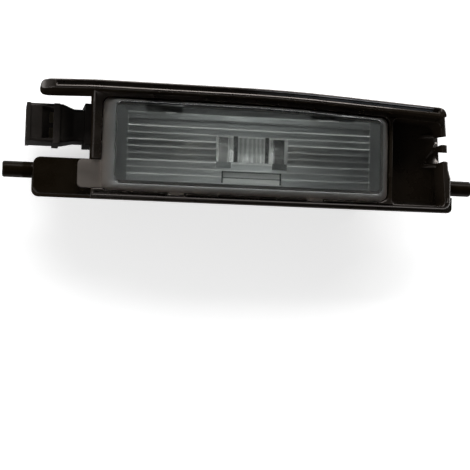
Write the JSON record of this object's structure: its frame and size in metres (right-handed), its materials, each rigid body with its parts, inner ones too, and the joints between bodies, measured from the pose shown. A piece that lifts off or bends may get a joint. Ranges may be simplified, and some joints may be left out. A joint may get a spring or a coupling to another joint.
{
  "type": "number plate lamp",
  "caption": "Long flat number plate lamp: black housing with a bent flange and end pins, fluted clear lens, festoon bulb inside and a plug socket at one end.",
  "frame": {"origin": "under the middle of the lens, on the plane of the lamp's flat back", "axes": "+X along the lamp away from its plug socket, +Y towards the flanged edge, +Z out of the lens"},
  "size_m": [0.1094, 0.0259, 0.022],
  "materials": {
    "black_plastic": "semi-gloss moulded",
    "socket_plastic": "satin moulded",
    "clear_plastic": "clear, slightly hazed",
    "seal_rubber": "matt",
    "metallised_plastic": "metallised, dulled",
    "bulb_glass": "clear",
    "plated_brass": "nickel plated",
    "wire_steel": "drawn wire",
    "filament_metal": "dark wire",
    "contact_brass": "tinned, dulled"
  },
  "bodies": {
    "root": {"housing": "black_plastic", "lens": "clear_plastic", "lens_seal": "seal_rubber", "reflector": "metallised_plastic", "bulb_glass": "bulb_glass", "bulb_cap_left": "plated_brass", "bulb_cap_right": "plated_brass", "filament_lead_left": "wire_steel", "filament_lead_right": "wire_steel", "bulb_filament": "filament_metal", "contact_strip_left": "contact_brass", "contact_strip_right": "contact_brass", "connector_body": "socket_plastic"}
  },
  "joints": []
}
